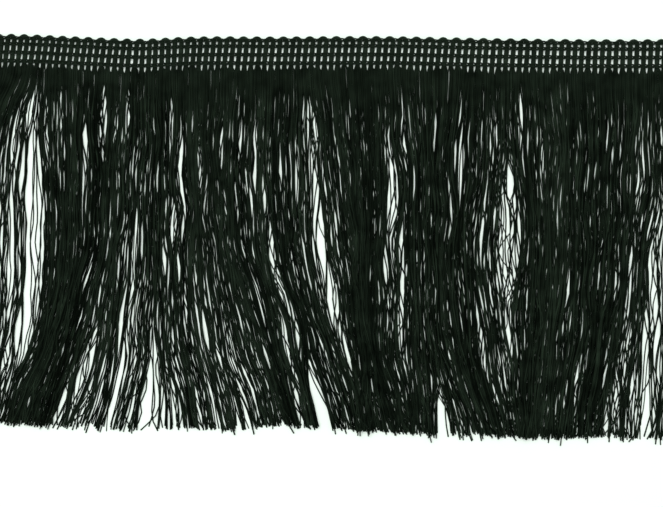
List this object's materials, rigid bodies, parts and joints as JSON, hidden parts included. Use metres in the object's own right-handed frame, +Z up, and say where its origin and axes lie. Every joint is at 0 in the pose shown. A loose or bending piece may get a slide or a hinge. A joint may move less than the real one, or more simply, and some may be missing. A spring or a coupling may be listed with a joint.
{
  "type": "cut yarn fringe trim",
  "caption": "Black cut yarn fringe trim lying flat: a narrow chain-knitted heading with a scalloped edge carries a deep skirt of loose yarns, for sewing or glueing along an edge.",
  "frame": {"origin": "middle of the trim's outline, on the surface it lies on", "axes": "+X along the trim, +Y from the cut yarn ends to the scalloped edge of the heading, +Z up from the surface"},
  "size_m": [0.3098, 0.157, 0.0021],
  "materials": {
    "fringe_yarn": "soft black spun yarn with a slight sheen along the twist",
    "chain_yarn": "matt black fine twisted yarn"
  },
  "bodies": {
    "root": {"heading_band": "fringe_yarn", "chain_row_1": "chain_yarn", "chain_row_2": "chain_yarn", "chain_row_3": "chain_yarn", "chain_row_4": "chain_yarn", "fringe_skirt": "fringe_yarn"}
  },
  "joints": []
}
